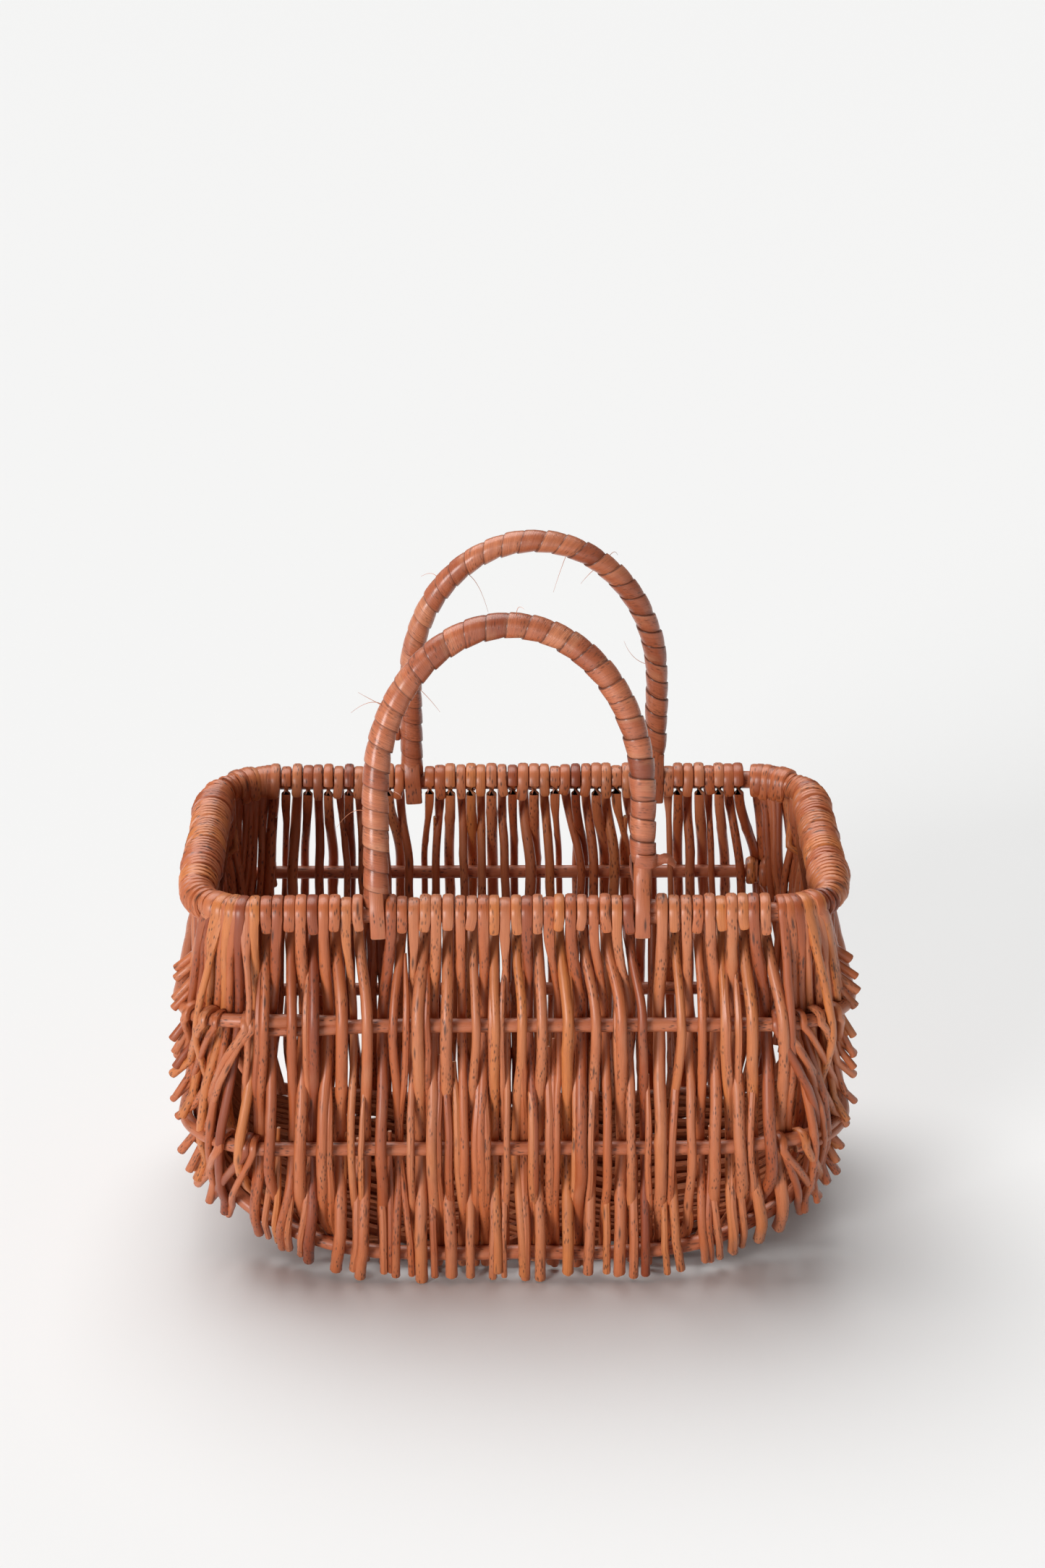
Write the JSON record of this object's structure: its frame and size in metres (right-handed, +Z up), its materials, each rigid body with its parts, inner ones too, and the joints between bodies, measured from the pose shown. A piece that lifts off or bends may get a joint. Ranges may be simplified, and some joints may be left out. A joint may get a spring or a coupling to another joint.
{
  "type": "wicker log basket",
  "caption": "Rounded rectangular basket woven from whole willow rods on hoops and bows, with a wound rim and two upright skein-wrapped bow handles.",
  "frame": {"origin": "on the floor, below the middle of the basket", "axes": "+Z up, +X along the length of the basket, -Y towards its front"},
  "size_m": [0.433, 0.2726, 0.4333],
  "materials": {
    "willow_rod": "buff willow rods, satin varnish, with bud scars and bark specks",
    "willow_frame": "thicker buff willow rods, satin, a little darker",
    "willow_skein": "split willow skein, smooth satin, reddish brown"
  },
  "bodies": {
    "root": {"rim_hoop": "willow_frame", "upper_ring": "willow_frame", "lower_ring": "willow_frame", "front_bow": "willow_frame", "back_bow": "willow_frame", "bottom_rib_1": "willow_frame", "bottom_rib_2": "willow_frame", "bottom_rib_3": "willow_frame", "bottom_rib_4": "willow_frame", "front_handle_core": "willow_frame", "back_handle_core": "willow_frame", "front_stakes_1": "willow_rod", "front_stakes_2": "willow_rod", "front_stakes_3": "willow_rod", "front_stakes_4": "willow_rod", "front_stakes_5": "willow_rod", "front_stakes_6": "willow_rod", "front_stakes_7": "willow_rod", "front_stakes_8": "willow_rod", "back_stakes_1": "willow_rod", "back_stakes_2": "willow_rod", "back_stakes_3": "willow_rod", "back_stakes_4": "willow_rod", "back_stakes_5": "willow_rod", "back_stakes_6": "willow_rod", "back_stakes_7": "willow_rod", "back_stakes_8": "willow_rod", "front_left_fan_1": "willow_rod", "front_left_fan_2": "willow_rod", "front_left_fan_3": "willow_rod", "front_right_fan_1": "willow_rod", "front_right_fan_2": "willow_rod", "front_right_fan_3": "willow_rod", "back_left_fan_1": "willow_rod", "back_left_fan_2": "willow_rod", "back_left_fan_3": "willow_rod", "back_right_fan_1": "willow_rod", "back_right_fan_2": "willow_rod", "back_right_fan_3": "willow_rod", "bottom_weavers_1": "willow_rod", "bottom_weavers_2": "willow_rod", "bottom_weavers_3": "willow_rod", "bottom_weavers_4": "willow_rod", "bottom_weavers_5": "willow_rod", "bottom_weavers_6": "willow_rod", "left_rim_wrap": "willow_rod", "right_rim_wrap": "willow_rod", "front_handle_wrap": "willow_skein", "back_handle_wrap": "willow_skein"}
  },
  "joints": []
}
